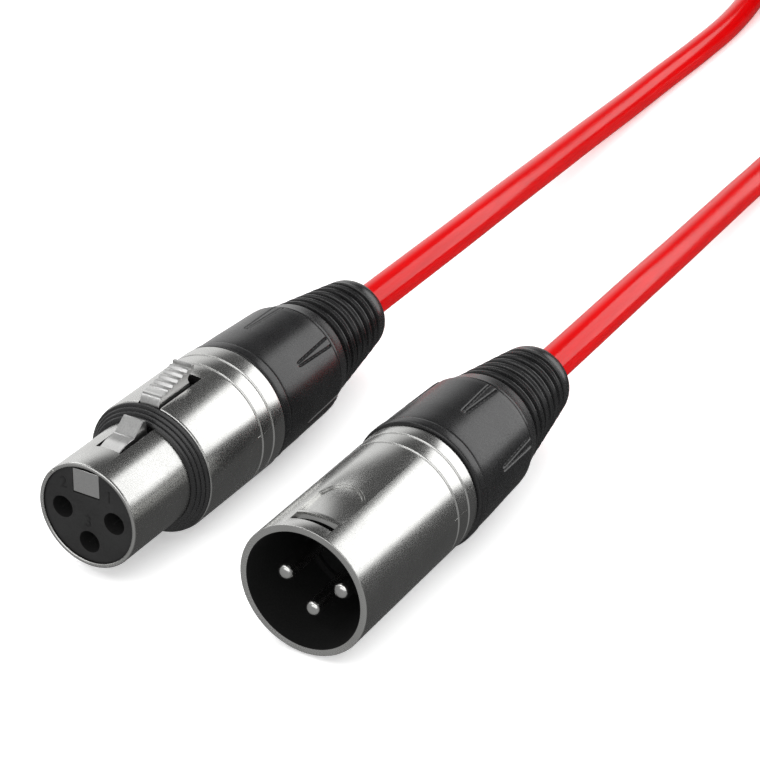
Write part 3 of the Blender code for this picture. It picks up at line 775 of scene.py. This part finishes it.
def gland_nut(prefix, x, shell_rear, first):
    """Hard plastic nut: threaded spigot, collar, and a tapered body with six wedge tongues.

    The radius is the turned profile less the two V grooves beside each tongue, plus the tongue's small rise.
    A groove lies where the distance round the body from the tongue's middle is the tongue's half width,
    which grows evenly from its tip to its rear. The spigot's radius follows a helix of one millimetre pitch.
    The places along it, n, are counted from the shell's rear.
    """
    angle = nut_angles(first)
    offset = (np.degrees(angle) - first + 30.0) % 60.0 - 30.0
    n = np.concatenate([[0.5, 1.0, 1.6, 1.9, 2.0, 2.08, 2.16, 2.26, 2.4, 2.7, 3.4, 4.4, 5.4, 6.4],
                        np.arange(7.0, 16.61, 0.12)])
    outer = np.interp(n, [0.3, 1.95, 2.4, 3.0, 7.0, 10.0, 15.8, 16.7],
                      [9.93, 9.93, 9.78, 9.8, 9.7, 9.57, 9.36, 9.28])
    base = outer - 0.2 * np.exp(-((n - 2.13) / 0.12) ** 2)
    arc = np.abs(np.radians(offset))[None] * base[:, None]
    share = np.clip((n - 7.6) / 8.2, 0.0, 1.0)[:, None]
    half = 0.26 + 0.4 * share
    fade = np.clip((n - 7.4) / 0.8, 0.0, 1.0)[:, None] * np.clip((16.75 - n) / 0.25, 0.0, 1.0)[:, None]
    cut = 0.3 * np.exp(-((arc - half) / 0.16) ** 2) * fade
    raised = 0.07 * np.clip((half - arc) / 0.15, 0.0, 1.0) * fade
    body = base[:, None] - cut + raised

    def rows(profile):
        """Rows of one radius all round."""
        profile = np.asarray(profile, float)
        return profile[:, 0], np.broadcast_to(profile[:, 1:], (len(profile), len(angle)))

    thread_n = np.arange(-6.3, 0.0, 0.125)
    turn = (thread_n[:, None] + np.degrees(angle)[None] / 360.0) % 1.0
    thread = 8.08 + 0.56 * np.clip(0.5 - np.abs(turn - 0.5) - 0.1, 0.0, 0.3)
    sections = [
        (n, body),
        rows([(16.72, 9.2), (16.8, 9.1), (16.8, 6.3), (18.75, 6.3), (18.85, 6.2), (18.85, 4.7), (16.0, 4.6),
              (10.0, 6.9), (-6.5, 6.9), (-6.5, 7.9)]),
        (thread_n, thread),
        rows([(0.15, 8.05), (0.3, 8.3), (0.3, 9.75), (0.36, 9.88)]),
    ]
    along = np.concatenate([section[0] for section in sections]) + shell_rear
    radius = np.concatenate([section[1] for section in sections])
    grid = np.stack([radius * np.cos(angle), np.broadcast_to(along[:, None], radius.shape),
                     radius * np.sin(angle)], axis=-1)
    nut = skin(f"{prefix}_boot_nut", grid, x)
    hand_over(nut, f"{prefix}_nut", "boot_plastic", BOOT, f"{prefix}_gland_nut", smooth=50.0)


def bend_relief(prefix, x, shell_rear):
    """Tapered rubber sleeve: a smooth band, six double-crested ribs between seven grooves, and a rounded end.

    The radius is a smooth taper, less the groove's depth near each groove's middle, easing out to nothing at
    twice that distance, and less a shallow dip in the middle of each rib. The places along it, n, are counted
    from the shell's rear.
    """
    n = np.concatenate([[17.35, 17.7, 18.2, 18.8, 19.4], np.arange(19.7, 34.0, 0.08)])
    taper = np.interp(n, [17.3, 18.0, 19.7, 21.0, 24.0, 28.0, 32.0, 34.2],
                      [9.0, 8.78, 8.42, 8.15, 7.72, 7.1, 6.5, 6.12])
    middle = 20.5 + 2.1 * np.arange(7)
    distance = np.abs(n[:, None] - middle[None]).min(axis=1)
    deep = eased(np.clip((0.66 - distance) / 0.3, 0.0, 1.0))
    dip = np.exp(-((np.abs(n[:, None] - middle[None, :-1] - 0.98).min(axis=1)) / 0.2) ** 2)
    outer = np.stack([n, taper - 0.68 * deep - 0.26 * dip], axis=1)
    turn = np.linspace(0.0, math.pi / 2, 14)
    cap = np.stack([34.3 + 2.7 * np.sin(turn), 4.55 + 1.5 * np.cos(turn)], axis=1)
    inside = [(37.0, 3.2), (36.9, 2.95), (36.6, 2.86), (19.3, 2.86), (19.2, 3.0), (19.2, 6.6), (17.0, 6.6),
              (17.0, 8.7), (17.08, 8.9)]
    profile = np.concatenate([outer, cap, inside]) + (shell_rear, 0.0)
    sleeve = skin(f"{prefix}_ribbed_sleeve", spun(profile, 128), x)
    hand_over(sleeve, f"{prefix}_boot", "black_rubber", RUBBER, f"{prefix}_bend_relief", smooth=45.0)


female_shell()
female_ring()
female_insert()
socket_sleeves()
pin_numbers()
female_latch()
male_shell()
male_insert()
male_pins()
for side, centre, rear, first_tongue in (
        ("female", FEMALE_X, FEMALE_REAR, 39.0), ("male", MALE_X, MALE_REAR, 12.5)):
    gland_nut(side, centre, rear, first_tongue)
    bend_relief(side, centre, rear)

KEPT_FINISHES = {
    "female_latch_spring": SPRING, "female_chuck": CHUCK, "male_chuck": CHUCK,
    "female_cable_end": RED, "male_cable_end": RED, "core_hot": WHITE_CORE, "core_cold": BLUE_CORE,
    "core_shield": COPPER,
}


def finish_kept_nodes():
    """Give the CAD nodes that are shown as they are their own finishes."""
    for name, node in nodes.items():
        for words, finish in KEPT_FINISHES.items():
            if words in name:
                for material_slot in node.material_slots:
                    material_slot.material = finish


finish_kept_nodes()


# ---------------------------------------------------------------- floor and light

def floor():
    """Broad pale sheet under everything; it lights the parts but doesn't mirror in them."""
    size = 4.0
    mesh = bpy.data.meshes.new("floor")
    mesh.from_pydata([(-size, -size, 0.0), (size, -size, 0.0), (size, size, 0.0), (-size, size, 0.0)], [],
                     [(0, 1, 2, 3)])
    sheet = bpy.data.objects.new("floor", mesh)
    bpy.context.scene.collection.objects.link(sheet)
    mesh.materials.append(plain("pale_floor", Base_Color=(0.92, 0.92, 0.92, 1.0), Roughness=0.9,
                                Emission_Color=(1.0, 1.0, 1.0, 1.0), Emission_Strength=0.4))
    sheet.visible_glossy = False


def softbox(name, start, end, distance, width, radiance, mirrored=True):
    """Rectangular light whose length spans two directions from the connectors, of a given brightness."""
    start = Vector(start).normalized()
    end = Vector(end).normalized()
    middle = (start + end).normalized()
    length = (end - start).length * distance
    side = (end - start).normalized()
    data = bpy.data.lights.new(name, "AREA")
    data.shape = "RECTANGLE"
    data.size = length
    data.size_y = width
    data.energy = radiance * math.pi * length * width
    lamp = bpy.data.objects.new(name, data)
    turn = Matrix((side, middle.cross(side), middle)).transposed().to_4x4()
    lamp.matrix_world = Matrix.Translation(middle * distance) @ turn
    lamp.visible_glossy = mirrored
    bpy.context.scene.collection.objects.link(lamp)


def surroundings():
    """Grey room, a little lighter in front, with a soft pale side behind on the left.

    The pale side's brightness grows smoothly with the cosine between a direction and its middle.
    """
    world = bpy.data.worlds.new("studio")
    world.use_nodes = True
    tree = world.node_tree
    coordinates = tree.nodes.new("ShaderNodeTexCoord")
    facing = tree.nodes.new("ShaderNodeVectorMath")
    facing.operation = "DOT_PRODUCT"
    facing.inputs[1].default_value = (-0.75, 0.66, 0.0)
    glow = tree.nodes.new("ShaderNodeMapRange")
    glow.interpolation_type = "SMOOTHSTEP"
    for socket, value in (("From Min", 0.73), ("From Max", 0.96), ("To Min", 0.0), ("To Max", 0.82)):
        glow.inputs[socket].default_value = value
    split = tree.nodes.new("ShaderNodeSeparateXYZ")
    room = tree.nodes.new("ShaderNodeMapRange")
    for socket, value in (("From Min", -0.8), ("From Max", 0.4), ("To Min", 0.34), ("To Max", 0.08)):
        room.inputs[socket].default_value = value
    total = tree.nodes.new("ShaderNodeMath")
    tree.links.new(coordinates.outputs["Generated"], facing.inputs[0])
    tree.links.new(coordinates.outputs["Generated"], split.inputs[0])
    tree.links.new(facing.outputs["Value"], glow.inputs["Value"])
    tree.links.new(split.outputs["Y"], room.inputs["Value"])
    tree.links.new(glow.outputs["Result"], total.inputs[0])
    tree.links.new(room.outputs["Result"], total.inputs[1])
    tree.links.new(total.outputs[0], tree.nodes["Background"].inputs["Color"])
    bpy.context.scene.world = world


def studio():
    """Overhead softbox for the floor, one behind for the broad streak on the metal, and others all round."""
    softbox("overhead", (-1.35, 0.05, 1.0), (1.35, 0.05, 1.0), 2.0, 4.6, 1.5, mirrored=False)
    softbox("behind_right", (0.70, 0.70, 0.07), (0.12, 0.72, 0.68), 1.2, 0.95, 1.9)
    softbox("high_left", (-0.95, 0.34, 0.45), (-0.42, 0.27, 0.85), 0.8, 0.32, 1.5)
    softbox("front_left", (-0.9, -0.45, 0.4), (-0.25, -0.5, 0.8), 0.9, 0.4, 0.55)
    softbox("rim_strip", (0.65, -0.6, 0.5), (-0.7, -0.4, 0.65), 1.0, 0.14, 2.6)
    softbox("front", (-0.45, -0.8, 0.3), (0.75, -0.65, 0.3), 1.2, 0.7, 1.1)
    softbox("right", (1.0, -0.35, 0.35), (0.95, 0.3, 0.4), 1.2, 0.5, 0.9)
    softbox("left", (-1.0, -0.35, 0.25), (-1.0, 0.1, 0.25), 1.2, 0.5, 0.9)


floor()
surroundings()
studio()
bpy.context.scene.view_settings.view_transform = "Standard"
